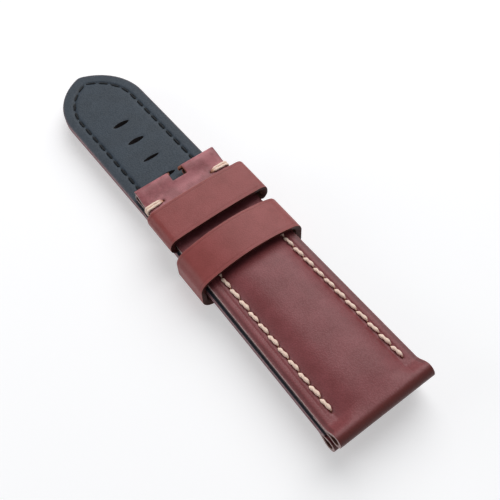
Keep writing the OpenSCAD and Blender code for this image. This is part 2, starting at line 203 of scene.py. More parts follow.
def joinPieces(pieces, name):
    clearSelection()
    for piece in pieces:
        piece.select_set(True)
    bpy.context.view_layer.objects.active = pieces[0]
    bpy.ops.object.join()
    pieces[0].name = name
    return pieces[0]


def dress(piece, keys):
    piece.data.materials.clear()
    for key in keys:
        piece.data.materials.append(materials[key])


def finishPiece(piece, node, body, angle=40):
    choose(piece)
    bpy.ops.object.shade_smooth_by_angle(angle=math.radians(angle))
    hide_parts(node)
    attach(piece, body)


# a grid whose every crossing of a column and a row is moved to its place. Each vertex keeps the
# flat leather's own coordinates as UVs, its distance in from the cut edge, its distance from the
# nearest needle hole, its share of the leather's thickness, and its painted light: above zero a painted
# sheen, below zero painted shade
def shapedGrid(name, columns, rows, place, keys, facing=1):
    across, along = len(columns) - 1, len(rows) - 1
    piece = added(bpy.ops.mesh.primitive_grid_add, name, x_subdivisions=across, y_subdivisions=along,
                  size=2)
    mesh = piece.data
    mesh.name = name
    flat, edges, holes, shares, paintedLights = [], [], [], [], []
    for vertex in mesh.vertices:
        i = round((vertex.co.x + 1) / 2 * across)
        j = round((vertex.co.y + 1) / 2 * along)
        vertex.co, u, v, edge, hole, share, *paintedLight = place(columns[i], rows[j])
        flat.append((u / 100, v / 100))
        edges.append(edge)
        holes.append(hole)
        shares.append(share)
        paintedLights.append(paintedLight[0] if paintedLight else 0)
    layer = mesh.uv_layers[0]
    layer.name = "flat"
    for loop in mesh.loops:
        layer.data[loop.index].uv = flat[loop.vertex_index]
    for label, values in (("edge", edges), ("hole", holes), ("paintedLight", paintedLights)):
        mesh.attributes.new(label, "FLOAT", "POINT").data.foreach_set("value", values)
    weights = piece.vertex_groups.new(name="thickness")
    for index, share in enumerate(shares):
        weights.add([index], share, "REPLACE")
    dress(piece, keys)
    if sum(face.normal.z * face.area for face in mesh.polygons) * facing < 0:
        editAll(piece, bpy.ops.mesh.flip_normals)
    return piece


def deleteFaces(piece, inside):
    editAll(piece, bpy.ops.mesh.select_all, action="DESELECT")
    for face in piece.data.polygons:
        face.select = inside(face.center)
    bpy.ops.object.mode_set(mode="EDIT")
    bpy.ops.mesh.select_mode(type="FACE")
    bpy.ops.mesh.delete(type="FACE")
    bpy.ops.mesh.select_mode(type="VERT")
    bpy.ops.object.mode_set(mode="OBJECT")


# gives the cut edges for which a test holds another of the piece's materials
def redressEdge(piece, index, inside):
    for face in piece.data.polygons:
        if face.material_index == 2 and inside(face.center / mm):
            face.material_index = index


def thicken(piece, thickness):
    applyModifier(piece, "SOLIDIFY", thickness=thickness * mm, offset=-1, use_even_offset=False,
                  vertex_group="thickness", material_offset=1, material_offset_rim=2)


def softenEdges(piece, width, segments=2):
    applyModifier(piece, "BEVEL", width=width * mm, segments=segments, limit_method="ANGLE",
                  angle_limit=math.radians(55), use_clamp_overlap=True)


# columns across a sheet: distances in from each edge, and shares of what is between
def columnsAcross(insets, middles):
    return ([("edge", -1, d) for d in insets] + [("middle", k / middles, insets[-1])
                                                 for k in range(1 - middles, middles)]
            + [("edge", 1, d) for d in reversed(insets)])


def columnPlace(column, half):
    x = column[1] * (half - column[2])
    return x, half - abs(x)


# distances in from an edge at which a sheet has a column, closest at its crease and its seam
fineInsets = [0, 0.07, 0.16, 0.28, 0.42, 0.6, 0.78, 0.95, 1.1, 1.25, 1.4, 1.5, 1.59, 1.68, 1.77, 1.86,
              1.98, 2.2, 2.4, 2.55, 2.68, 2.79, 2.9, 3.01, 3.12, 3.25, 3.4, 3.6, 3.85, 4.15, 4.3, 4.45,
              4.6, 5.0]
liningInsets = [0, 0.08, 0.18, 0.32, 0.55, 0.9, 1.3, 1.7, 2.05, 2.3, 2.48, 2.62, 2.76, 2.9, 3.04, 3.18,
                3.32, 3.5, 3.75, 4.2, 5.0]
plainInsets = [0, 0.1, 0.3, 1.0, 2.5, 5.0]


# the tail's right outline drawn in by inset: straight, then its shoulder, then the rounding of its tip
def tailSide(mark, inset):
    kind, share = mark
    if kind == "top":
        return tailHalfWidth(share) - inset, share
    reach = strap["shoulder"] - inset
    tip = max(strap["leastTip"], strap["tip"] - inset)
    tipY = shoulderY + math.sqrt((reach - tip) ** 2 - shoulderX ** 2)
    turn = math.atan2(tipY - shoulderY, -shoulderX)
    if kind == "shoulder":
        return onCircle(shoulderX, shoulderY, reach, turn * share)
    return onCircle(0, tipY, tip, turn + (math.pi / 2 - turn) * share)


def tailPlace(column, mark):
    x, y = tailSide(mark, column[2])
    if column[0] == "edge":
        return column[1] * x, y, column[2]
    return column[1] * x, y, column[2] + (1 - abs(column[1])) * x


def tipRows():
    return [("shoulder", k / 14) for k in range(1, 15)] + [("tip", k / 9) for k in range(1, 10)]


def seamPath():
    side = [tailSide(("top", strap["seamStart"]), strap["seamInset"]),
            tailSide(("top", strap["tailTaper"]), strap["seamInset"])]
    side += [tailSide(("shoulder", k / 10), strap["seamInset"]) for k in range(11)]
    side += [tailSide(("tip", k / 10), strap["seamInset"]) for k in range(1, 11)]
    return side + [(-x, y) for x, y in reversed(side[:-1])]


# places along a path in an even number of equal steps, each near the pitch
def spaced(path, pitch):
    lengths = runningLengths(path)
    count = 2 * round(lengths[-1] / pitch / 2)
    points, k = [], 0
    for step in range(count + 1):
        target = lengths[-1] * step / count
        while k < len(path) - 2 and lengths[k + 1] < target:
            k += 1
        share = (target - lengths[k]) / (lengths[k + 1] - lengths[k])
        points.append(tuple(a + (b - a) * share for a, b in zip(path[k], path[k + 1])))
    return points


tailNeedles = spaced(seamPath(), strap["tailPitch"])
buckleNeedles = {side: [(side * (buckleHalfWidth(y) - buckleSeamInset(side, y)), y)
                        for y in frange(strap["seamStart"], strap["seamEnd"], strap["pitch"])]
                 for side in (-1, 1)}
tackInset = strap["tackLength"] + 0.2
tackNeedles = {side: [(side * (buckleHalfWidth(strap["tackAt"]) - tackInset), strap["tackAt"])]
               for side in (-1, 1)}
slotPlaces = [strap["tailHalf"] - strap["firstHole"] - k * strap["holePitch"]
              for k in range(strap["holes"])]
slotOpenings = [1, 1.05, 0.72, 0.9, 1, 0.85, 0.95]  # how far each slot stands open
farOff = 2.0  # distance given where no needle hole is near


def nearest(x, y, needles):
    return min([farOff] + [math.hypot(x - a, y - b) for a, b in needles if abs(y - b) < farOff])


def nearestOnTail(x, y, edge):
    return nearest(x, y, tailNeedles) if abs(edge - strap["seamInset"]) < farOff else farOff


def slotDistance(x, y):
    closest = min(slotPlaces, key=lambda slot: abs(slot - y))
    return math.hypot(max(0, abs(x) - 1.5), y - closest)


def group(name, inputs, outputs):
    tree = bpy.data.node_groups.new(name, "ShaderNodeTree")
    for label, value in inputs:
        socket = tree.interface.new_socket(label, in_out="INPUT", socket_type="NodeSocketFloat")
        socket.default_value = value
    for label in outputs:
        tree.interface.new_socket(label, in_out="OUTPUT", socket_type="NodeSocketFloat")
    return tree, tree.nodes.new("NodeGroupInput").outputs, tree.nodes.new("NodeGroupOutput").inputs


# gives sockets plain values or, from other sockets, links
def feed(tree, inputs, values):
    for label, value in values.items():
        if isinstance(value, bpy.types.NodeSocket):
            tree.links.new(value, inputs[label])
        else:
            inputs[label].default_value = value


def maths(tree, operation, *values):
    node = tree.nodes.new("ShaderNodeMath")
    node.operation = operation
    feed(tree, node.inputs, dict(enumerate(values)))
    return node.outputs[0]


def times(tree, a, b):
    return maths(tree, "MULTIPLY", a, b)


def noiseAt(tree, vector, scale, detail, roughness=0.5):
    texture = tree.nodes.new("ShaderNodeTexNoise")
    feed(tree, texture.inputs,
         {"Vector": vector, "Scale": scale, "Detail": detail, "Roughness": roughness})
    return texture.outputs["Fac"]


def remap(tree, value, low, high, toLow=0.0, toHigh=1.0):
    ranged = tree.nodes.new("ShaderNodeMapRange")
    ranged.interpolation_type = "SMOOTHSTEP"
    feed(tree, ranged.inputs, {"Value": value, "From Min": low, "From Max": high,
                               "To Min": toLow, "To Max": toHigh})
    return ranged.outputs["Result"]


def mixColour(tree, factor, a, b):
    mix = tree.nodes.new("ShaderNodeMix")
    mix.data_type = "RGBA"
    feed(tree, mix.inputs, {0: factor, 6: a, 7: b})
    return mix.outputs[2]


def attributeOf(tree, name):
    node = tree.nodes.new("ShaderNodeAttribute")
    node.attribute_name = name
    return node.outputs["Fac"]


def objectPlace(tree):
    return tree.nodes.new("ShaderNodeTexCoord").outputs["Object"]


def srgb(red, green, blue):
    return tuple(((v / 255 + 0.055) / 1.055) ** 2.4 if v > 10 else v / 255 / 12.92
                 for v in (red, green, blue)) + (1.0,)


# leather grain: pebbles, fine pores and slow creases for the bump, a mottle and the dark gaps between
# the pebbles for the colour
def buildGrain():
    tree, start, end = group("leather grain", [("Pores", 3200.0), ("Wrinkle", 0.5)],
                             ["Height", "Mottle", "Speckle"])
    where = objectPlace(tree)
    cells = tree.nodes.new("ShaderNodeTexVoronoi")
    feed(tree, cells.inputs, {"Scale": start["Pores"], "Vector": where})
    gaps = remap(tree, cells.outputs["Distance"], 0.3, 0.75)
    fine = noiseAt(tree, where, times(tree, start["Pores"], 2.3), 3)
    wrinkle = noiseAt(tree, where, 420, 3, 0.6)
    height = maths(tree, "SUBTRACT", times(tree, fine, 0.7), times(tree, gaps, 0.45))
    tree.links.new(maths(tree, "ADD", height, times(tree, wrinkle, start["Wrinkle"])), end["Height"])
    tree.links.new(remap(tree, noiseAt(tree, where, 210, 4, 0.6), 0.3, 0.7), end["Mottle"])
    tree.links.new(times(tree, gaps, remap(tree, fine, 0.35, 0.7, 0.4, 1.0)), end["Speckle"])
    return tree


# the needle holes, painted dark as the shade inside them, and a ring round each that is painted shade
# on the face and breaks the seam's painted shadow on the lining
def buildNeedleHoles():
    tree, start, end = group("needle holes", [("Size", 0.26), ("Pinch", 0.55)], ["Hole", "AroundHole"])
    near = attributeOf(tree, "hole")
    tree.links.new(remap(tree, maths(tree, "DIVIDE", near, start["Size"]), 1.3, 0.7), end["Hole"])
    tree.links.new(remap(tree, maths(tree, "DIVIDE", near, start["Pinch"]), 1.35, 0.65), end["AroundHole"])
    return tree


# a worn rim along the cut edge, and a dark line at an inset from it: painted shade on the face's
# rounded edge, the painted shadow in the lining's seam groove, and a darker crease line on the keepers
def buildEdgeWork():
    tree, start, end = group("edge work", [("Reach", 0.4), ("Inset", 1.0), ("Width", 0.14)],
                             ["Worn", "Line"])
    edge = attributeOf(tree, "edge")
    patchy = noiseAt(tree, objectPlace(tree), 700, 3)
    rough = times(tree, maths(tree, "SUBTRACT", patchy, 0.5), 0.9)
    near = maths(tree, "ADD", maths(tree, "DIVIDE", edge, start["Reach"]), rough)
    tree.links.new(remap(tree, near, 1.0, 0.25), end["Worn"])
    off = maths(tree, "DIVIDE", maths(tree, "ABSOLUTE", maths(tree, "SUBTRACT", edge, start["Inset"])),
                start["Width"])
    tree.links.new(remap(tree, off, 1.4, 0.3), end["Line"])
    return tree


groups = {"grain": buildGrain(), "needles": buildNeedleHoles(), "edges": buildEdgeWork()}


def placeGroup(tree, key, **values):
    one = tree.nodes.new("ShaderNodeGroup")
    one.node_tree = groups[key]
    feed(tree, one.inputs, values)
    return one.outputs


def newMaterial(name, roughness, gloss=0.5, sheen=0.0):
    material = bpy.data.materials.new(name)
    material.use_nodes = True
    tree = material.node_tree
    shader = tree.nodes["Principled BSDF"]
    feed(tree, shader.inputs,
         {"Roughness": roughness, "Specular IOR Level": gloss, "Sheen Weight": sheen})
    return material, tree, shader


def addBump(tree, shader, height, strength, distance):
    raised = tree.nodes.new("ShaderNodeBump")
    feed(tree, raised.inputs, {"Strength": strength, "Distance": distance, "Height": height})
    tree.links.new(raised.outputs[0], shader.inputs["Normal"])


faceLeather = {
    "dark": (121, 58, 60), "light": (133, 68, 71), "speckle": (82, 37, 37), "worn": (140, 84, 82),
    # on the next line, the pale pink is a painted sheen where the strap bends, and the deep red-brown
    # painted shade over the roll
    "line": (62, 26, 26), "hole": (88, 42, 30), "paintedSheen": (182, 112, 117), "pressed": (84, 26, 19),
    "roughness": 0.4, "gloss": 0.28, "pores": 3000.0, "wrinkle": 0.5, "bump": 0.45, "speckled": 0.3,
    # the line half a millimetre in from the edge is painted shade on the edge's rounded shoulder
    "lineAt": 0.5, "lineWidth": 0.44, "lined": 0.42, "rim": 0.2,
    # the hole colour is painted shade inside the needle holes, and the line colour is laid round them as
    # painted shade
    "holeSize": 0.24, "pinch": 0.5, "holeShade": 0.3, "bridged": 0.0,
}
# the keepers have no needle holes, and neither they nor the linings show bending
keeperLeather = {
    **faceLeather,
    "dark": (136, 62, 59), "light": (148, 71, 69), "speckle": (100, 46, 43), "worn": (166, 108, 98),
    "line": (110, 52, 49), "roughness": 0.43, "gloss": 0.26, "pores": 3400.0, "wrinkle": 0.4,
    "bump": 0.35, "speckled": 0.22, "lineAt": 0.75, "lineWidth": 0.1, "lined": 0.3,
}
liningLeather = {
    **faceLeather,
    "dark": (31, 42, 52), "light": (38, 50, 61), "speckle": (25, 32, 39), "worn": (96, 84, 88),
    # the line colour here is the painted shadow in the seam's groove, broken at the needle holes, and
    # the hole colour painted shade inside them
    "line": (12, 16, 20), "hole": (12, 14, 16), "roughness": 0.55, "pores": 2600.0, "wrinkle": 0.7,
    "bump": 0.55, "speckled": 0.4, "lineAt": 2.9, "lineWidth": 0.36, "lined": 0.95, "rim": 0.45,
    "holeSize": 0.1, "pinch": 0.75, "holeShade": 0.0, "bridged": 0.9,
}


def leatherMaterial(name, look):
    material, tree, shader = newMaterial(name, look["roughness"], look["gloss"])
    grain = placeGroup(tree, "grain", Pores=look["pores"], Wrinkle=look["wrinkle"])
    edges = placeGroup(tree, "edges", Reach=look["rim"], Inset=look["lineAt"], Width=look["lineWidth"])
    needles = placeGroup(tree, "needles", Size=look["holeSize"], Pinch=look["pinch"])
    # the painted light each vertex carries: above zero a painted sheen, mottled, where the strap bends
    paintedLight = attributeOf(tree, "paintedLight")
    paintedSheen = times(tree, maths(tree, "MAXIMUM", paintedLight, 0.0), remap(tree, grain["Mottle"], 0, 1, 0.3, 0.9))
    # below zero it is painted shade over the roll at the lug end
    pressed = maths(tree, "MAXIMUM", times(tree, paintedLight, -1.0), 0.0)
    # the dark line is broken at the needle holes where it is the lining seam's painted shadow
    bridge = maths(tree, "SUBTRACT", 1.0, times(tree, needles["AroundHole"], look["bridged"]))
    line = times(tree, times(tree, edges["Line"], bridge), look["lined"])
    colour = mixColour(tree, grain["Mottle"], srgb(*look["dark"]), srgb(*look["light"]))
    # each colour lies over the ones before it
    for cover, key in ((times(tree, grain["Speckle"], look["speckled"]), "speckle"), (paintedSheen, "paintedSheen"),
                       (pressed, "pressed"), (times(tree, edges["Worn"], 0.5), "worn"), (line, "line"),
                       (times(tree, needles["AroundHole"], look["holeShade"]), "line"),
                       (needles["Hole"], "hole")):
        colour = mixColour(tree, cover, colour, srgb(*look[key]))
    tree.links.new(colour, shader.inputs["Base Color"])
    rough = remap(tree, grain["Speckle"], 0.0, 1.0, look["roughness"] - 0.04, look["roughness"] + 0.08)
    tree.links.new(maths(tree, "MAXIMUM", rough, needles["Hole"]), shader.inputs["Roughness"])
    addBump(tree, shader, grain["Height"], look["bump"], 0.00006)
    return material


# board, padding and cut edges: fibres of two colours
def fibrousMaterial(name, colour, other, roughness, scale=2200, relief=0.5, gloss=0.5):
    material, tree, shader = newMaterial(name, roughness, gloss)
    fibre = noiseAt(tree, objectPlace(tree), scale, 4, 0.65)
    tree.links.new(mixColour(tree, remap(tree, fibre, 0.32, 0.68), srgb(*colour), srgb(*other)),
                   shader.inputs["Base Color"])
    addBump(tree, shader, fibre, relief, 0.00008)
    return material


# thread whose strands run along it, a darker colour towards its ends where it enters the leather
def threadMaterial(name, colour, other, endColour, gloss=0.5):
    material, tree, shader = newMaterial(name, 0.62, gloss, 0.3 * gloss)
    parts = tree.nodes.new("ShaderNodeSeparateXYZ")
    tree.links.new(tree.nodes.new("ShaderNodeUVMap").outputs["UV"], parts.inputs[0])
    fibre = noiseAt(tree, objectPlace(tree), 5200, 4, 0.65)
    base = mixColour(tree, remap(tree, fibre, 0.32, 0.68), srgb(*colour), srgb(*other))
    fromMiddle = maths(tree, "ABSOLUTE", maths(tree, "SUBTRACT", parts.outputs["Y"], 0.5))
    end = remap(tree, fromMiddle, 0.34, 0.47)
    tree.links.new(mixColour(tree, end, base, srgb(*endColour)), shader.inputs["Base Color"])
    addBump(tree, shader, fibre, 0.6, 0.00008)
    return material


materials = {
    "face": leatherMaterial("face leather", faceLeather),
    "keeper": leatherMaterial("keeper leather", keeperLeather),
    "lining": leatherMaterial("lining leather", liningLeather),
    "cut": fibrousMaterial("cut edge of face leather", (196, 172, 168), (148, 120, 118), 0.7),
    "tailCut": fibrousMaterial("dyed edge of tail", (146, 104, 110), (106, 68, 74), 0.5),
    "notchCut": fibrousMaterial("cut edge at the buckle", (158, 92, 66), (120, 64, 46), 0.7),
    "burnished": fibrousMaterial("burnished edge", (78, 32, 27), (54, 20, 17), 0.55, 1500, 0.3, 0.15),
    "flesh": fibrousMaterial("flesh side of leather", (104, 62, 48), (72, 40, 32), 0.85),
    "core": fibrousMaterial("leather board", (40, 27, 27), (26, 18, 19), 0.75),
    "padding": fibrousMaterial("padding fibre", (196, 166, 124), (170, 140, 102), 0.9, 1200, 0.8),
    "liningEdge": fibrousMaterial("lining edge", (64, 52, 54), (38, 31, 32), 0.7, gloss=0.2),
    "thread": threadMaterial("beige thread", (255, 232, 214), (246, 210, 188), (190, 122, 86)),
    # the slot walls are near black: painted shade inside the tang slots
    "slotWall": fibrousMaterial("wall of a tang slot", (36, 26, 26), (20, 15, 16), 0.8, gloss=0.3),
    "liningThread": threadMaterial("dark thread", (15, 18, 22), (7, 8, 10), (5, 6, 8), 0.15),
}
print("materials made")

faceSheet = {"rowStep": 0.3375, "tailRowStep": 0.36, "crease": 1.9, "creaseDepth": 0.12,
             "creaseWidth": 0.16, "shoulder": 0.2, "seamValley": 0.15, "holeDepth": 0.24,
             "notchHalf": 2.0, "notchDepth": 3.3, "notchRound": 0.9, "cornerRound": 0.8,
             "roundReach": 2.5, "tackRecess": 0.36, "foldShare": 0.78, "rollShare": 0.85,
             "unevenness": 0.016, "bevel": 0.12, "wrinkle": 0.035, "wrinkleAt": 54.4, "slotPress": 0.12}


# one along a seam, fading over a distance before and after its first hole and past its last
def alongSeam(y, before, after, seamTo, fade):
    start = strap["seamStart"]
    return smooth(start - before, start + after, y) * (1 - smooth(seamTo, seamTo + fade, y))


# how deep a sheet is pressed at a place by its rounded edge, its crease, its seam and its needle holes
def worked(edge, seamOff, y, hole, seamTo):
    crease = bump(edge - faceSheet["crease"], faceSheet["creaseWidth"])
    creased = smooth(4.5, 11, y) * (1 - smooth(seamTo + 1, seamTo + 5, y))
    depth = faceSheet["creaseDepth"] * crease * creased
    depth += faceSheet["shoulder"] * (1 - smooth(0.1, 1.3, edge))
    depth += faceSheet["seamValley"] * alongSeam(y, 1.2, 0.3, seamTo, 2) * bump(seamOff, 0.36)
    return depth + faceSheet["holeDepth"] * bump(hole, 0.26)


# rows from the end of the glued flap, round the roll and up to its top: place and share of thickness
def lugRows():
    rows = [("path", y, z, share) for y, z, share in
            ((8, 0.8, 0.5), (6.8, 0.8, 0.5), (5.6, 0.8, 0.52), (4.8, 0.8, 0.56), (4.1, 0.76, 0.62),
             (3.5, 0.68, 0.66), (3.05, 0.56, 0.7))]
    for step in range(20):
        turn = math.radians(-62 - 208 * step / 20)
        rows.append(("path", *onCircle(rollRadius, rollZ, rollRadius, turn), faceSheet["rollShare"]))
    return rows


# where each row lies on the flat leather before it is rolled or folded
def flatLengths(rows, height):
    points = [(row[1], row[2]) if row[0] == "path" else (row[1], height(row[1])) for row in rows]
    first = next(k for k, row in enumerate(rows) if row[0] == "top")
    lengths = runningLengths(points)
    return [rows[first][1] + length - lengths[first] for length in lengths]


# the top of a padded sheet over its margins, crown and roll
def sheetTop(x, y, half, edge, seamOff, hole, seamTo):
    foot = half - strap["padFoot"]
    z = marginTop + rollRise(y) + crownAt(x, foot, crown(y))
    z -= worked(edge, seamOff, y, hole, seamTo) * smooth(2, 5.2, y)
    return z + uneven(x, y, faceSheet["unevenness"]) * smooth(3.4, 6, edge)


def rollThinning(y):
    return (1 - faceSheet["rollShare"]) * (1 - smooth(2, 4.5, y))


# painted shade over the roll at the lug end, strongest on its front, which faces away from the lamps;
# given below zero
def rollPaintedShade(y):
    return -0.95 * smooth(-0.3, 0.5, 1 - y / rollRadius)


# a distance added to the one from the edge where the edge has no crease, so that the worn rim and
# the painted shade line beside the edge are not drawn there
def uncreased(y, edge):
    onRoll, pastSeam = 1 - smooth(1.8, 3, y), smooth(strap["seamEnd"] + 1, strap["seamEnd"] + 5, y)
    return 3 * max(onRoll, pastSeam) if edge > 0.2 else 0


# rounded corners at the mouth of the cut-out and at the end of the strap
def roundedEnd(x, y, edge):
    mouth, corner, reach = faceSheet["notchRound"], faceSheet["cornerRound"], faceSheet["roundReach"]
    into, notch = y - (strap["buckleHalf"] - mouth), faceSheet["notchHalf"]
    if into > 0 and abs(x) > notch - 0.1:
        spread = mouth - math.sqrt(max(0, mouth ** 2 - into ** 2))
        x += math.copysign(spread * max(0, 1 - (abs(x) - notch) / reach), x)
    into = y - (strap["buckleHalf"] - corner)
    if into > 0:
        pull = corner - math.sqrt(max(0, corner ** 2 - into ** 2))
        x -= math.copysign(pull * max(0, 1 - edge / reach), x)
    return x


def buildBuckleFace():
    topCut = strap["buckleHalf"] - faceSheet["notchDepth"]
    top = frange(rollRadius, strap["seamStart"], faceSheet["rowStep"])[:-1]
    top += frange(strap["seamStart"], strap["seamEnd"], faceSheet["rowStep"])
    top += frange(strap["seamEnd"], topCut, 0.35)[1:] + frange(topCut, foldY, 0.225)[1:]
    rows = lugRows() + [("top", y) for y in top]
    rows += [("path", *onCircle(foldY, foldRadius, foldRadius, math.radians(90 - 10 * step)),
              faceSheet["foldShare"]) for step in range(1, 19)]
    rows += [("path", y, 0, faceSheet["foldShare"]) for y in
             (73.05, 72.6, 72.15, 71.7, 71, 70, 69.5, 69.3, 69.1, 68.7, 68.3, 68.1, 67.9, 67.4, 66.7,
              strap["foldFlap"])]
    flat = dict(zip(rows, flatLengths(rows, lambda y: marginTop + rollRise(y) + foldRise(y))))

    def at(column, row):
        y = row[1]
        half = buckleHalfWidth(y if row[0] == "top" or y > 30 else 0)
        x, edge = columnPlace(column, half)
        side = 1 if x > 0 else -1
        hole = farOff
        if row[0] == "path":
            z, share = row[2], row[3]
            if 30 < y < foldY and z < 1:
                recess = bump(y - strap["tackAt"], 0.62) * smooth(4.6, 4.2, edge)
                z += faceSheet["tackRecess"] * recess
                share -= faceSheet["tackRecess"] / strap["leather"] * recess
        else:
            hole = min(nearest(x, y, buckleNeedles[side]), 0.7 * nearest(x, y, tackNeedles[side]))
            share = 1 - (1 - faceSheet["foldShare"]) * smooth(70, 72.5, y) - rollThinning(y)
            seamOff = edge - buckleSeamInset(side, y)
            z = sheetTop(x, y, half, edge, seamOff, hole, strap["seamEnd"]) + foldRise(y)
            # the strip between the keepers is creased where the strap is bent
            waves = math.sin(2.6 * y + 0.8 * math.sin(0.5 * x))
            z += faceSheet["wrinkle"] * waves * bump(y - faceSheet["wrinkleAt"], 1.5)
        # painted shade over the roll; past the middle, a painted sheen on the strip between the keepers
        # and over the buckle end
        paintedLight = rollPaintedShade(y)
        if y > 30:
            paintedLight = max(smooth(63, 68, y), 0.85 * bump(y - faceSheet["wrinkleAt"], 1.9))
        place = onBuckleHalf(roundedEnd(x, y, edge), y, z)
        return place, x, flat[row], edge + uncreased(y, edge), hole, share, paintedLight

    piece = shapedGrid("faceLeatherBuckleHalf", columnsAcross(fineInsets, 9), rows, at,
                       ("face", "flesh", "cut", "notchCut"))
    cutTo = faceSheet["notchHalf"] - 0.05
    deleteFaces(piece, lambda c: abs(c.x) < cutTo * mm and c.y > (topCut + lugY) * mm)
    thicken(piece, strap["leather"])
    redressEdge(piece, 3, lambda c: abs(c.x) < 4 and c.y > topCut + lugY - 1)
    softenEdges(piece, faceSheet["bevel"])
    finishPiece(piece, "buckle_half_face_leather", "buckle_half")


# tang slots with pointed ends, cut through a layer of the tail
def cutSlots(piece):
    below, above = -1, 4
    cutters = []
    for middle, opening in zip(slotPlaces, slotOpenings):
        cutter = added(bpy.ops.mesh.primitive_cylinder_add, "cutter", vertices=40, radius=1, depth=1)
        for vertex in cutter.data.vertices:
            turn = math.atan2(vertex.co.y, vertex.co.x)
            pointed = math.copysign(abs(math.sin(turn)) ** 1.25, math.sin(turn))
            y = middle + strap["holeWidth"] / 2 * opening * pointed
            z = below if vertex.co.z > 0 else above
            vertex.co = onTailHalf(strap["holeLength"] / 2 * math.cos(turn), y, z)
        cutters.append(cutter)
    tool = joinPieces(cutters, "slotCutter")
    turnOutwards(tool)
    for material in piece.data.materials:
        tool.data.materials.append(material)
    for face in tool.data.polygons:
        face.material_index = 3
    applyModifier(piece, "BOOLEAN", operation="DIFFERENCE", object=tool, solver="EXACT")
    bpy.data.objects.remove(tool)


def buildTailFace():
    rows = lugRows() + [("top", y) for y in frange(rollRadius, shoulderY, faceSheet["tailRowStep"])]
    flat = dict(zip(rows, flatLengths(rows, lambda y: marginTop + rollRise(y))))

    def at(column, row):
        if row[0] == "path":
            y, z, share = row[1:]
            x, edge = columnPlace(column, tailHalfWidth(0))
            return (onTailHalf(x, y, z), x, flat[row], edge + uncreased(y, edge), farOff, share,
                    rollPaintedShade(y))
        x, y, edge = tailPlace(column, row)
        hole, seamOff = nearestOnTail(x, y, edge), edge - strap["seamInset"]
        z = sheetTop(x, y, tailHalfWidth(min(y, shoulderY)), edge, seamOff, hole, strap["tailHalf"])
        z -= faceSheet["slotPress"] * bump(slotDistance(x, y), 0.95)
        return (onTailHalf(x, y, z), x, y, edge + uncreased(y, edge), hole, 1 - rollThinning(y),
                rollPaintedShade(y))

    piece = shapedGrid("faceLeatherTailHalf", columnsAcross(fineInsets, 9), rows + tipRows(), at,
                       ("face", "flesh", "tailCut", "slotWall", "cut"), facing=-1)
    weld(piece)
    thicken(piece, strap["leather"])
    redressEdge(piece, 4, lambda c: c.y < lugY + strap["tailBack"] + 4.2)
    cutSlots(piece)
    softenEdges(piece, faceSheet["bevel"])
    finishPiece(piece, "tail_half_face_leather", "tail_half")


buildBuckleFace()
buildTailFace()
print("face leathers made")

liningSheet = {"start": 3.2, "rowStep": 0.36, "groove": 0.36, "grooveWidth": 0.36,
               "unevenness": 0.012, "slotPress": 0.16, "bevel": 0.1}


# how deep a lining is pressed by its seam, with bridges at the needle holes
def liningDepth(x, y, off, hole, seamTo):
    bridge = 1 - 0.85 * bump(hole, 0.6)
    groove = liningSheet["groove"] * bridge * bump(off, liningSheet["grooveWidth"])
    depth = alongSeam(y, 0.8, 0, seamTo, 0.8) * (groove + 0.05 * bump(off, 0.9))
    return depth + uneven(x, y, liningSheet["unevenness"]) + liningSheet["unevenness"]


def buildBuckleLining():
    def at(column, y):
        x, edge = columnPlace(column, buckleHalfWidth(y))
        side = 1 if x > 0 else -1
        hole = nearest(x, y, buckleNeedles[side])
        off = edge - buckleSeamInset(side, y)
        depth = max(0, liningDepth(x, y, off, hole, strap["seamEnd"]))
        return onBuckleHalf(x, y, depth), x, y, edge, hole, 1 - depth / strap["lining"]

    rows = frange(liningSheet["start"], strap["foldFlap"] - 0.2, liningSheet["rowStep"])
    piece = shapedGrid("liningBuckleHalf", columnsAcross(liningInsets, 6), rows, at,
                       ("lining", "flesh", "liningEdge"), facing=-1)
    thicken(piece, strap["lining"])
    softenEdges(piece, liningSheet["bevel"])
    finishPiece(piece, "buckle_half_lining", "buckle_half")


def buildTailLining():
    def at(column, row):
        x, y, edge = tailPlace(column, row)
        hole = nearestOnTail(x, y, edge)
        near = slotDistance(x, y)
        pressed = liningSheet["slotPress"] * (bump(near, 0.8) - 0.5 * bump(near - 1.5, 0.5))
        depth = liningDepth(x, y, edge - strap["seamInset"], hole, strap["tailHalf"])
        depth = max(0, depth + pressed)
        return onTailHalf(x, y, depth), x, y, edge, hole, 1 - depth / strap["lining"]

    rows = [("top", y) for y in frange(liningSheet["start"], shoulderY, liningSheet["rowStep"])]
    piece = shapedGrid("liningTailHalf", columnsAcross(liningInsets, 9), rows + tipRows(), at,
                       ("lining", "flesh", "tailCut", "slotWall"))
    weld(piece)
    thicken(piece, strap["lining"])
    cutSlots(piece)
    softenEdges(piece, liningSheet["bevel"])
    finishPiece(piece, "tail_half_lining", "tail_half")


board = {"drawnIn": 0.04, "gap": 0.2, "end": 71.6, "bevel": 0.05}


# a board between the layers, drawn in a little from their edges
def buildBoard(name, node, body, rows):
    onTail = body == "tail_half"
    cut = "tailCut" if onTail else "core"

    def at(column, row):
        if onTail:
            x, y, edge = tailPlace(column, row)
            where, half = onTailHalf, tailHalfWidth(min(y, shoulderY))
        else:
            x, edge = columnPlace(column, buckleHalfWidth(row))
            y, where, half = row, onBuckleHalf, buckleHalfWidth(row)
        return where(x * (1 - board["drawnIn"] / half), y, baseZ), x, y, edge, farOff, 1.0

    piece = shapedGrid(name, columnsAcross(plainInsets, 3), rows, at,
                       ("core", "core", cut, "slotWall"), facing=-1 if onTail else 1)
    weld(piece)
    thicken(piece, strap["core"])
    if onTail:
        cutSlots(piece)
    softenEdges(piece, board["bevel"])
    finishPiece(piece, node, body)


pad = {"shortened": 0.6, "narrowed": 0.96, "under": 0.02, "rowStep": 0.7}


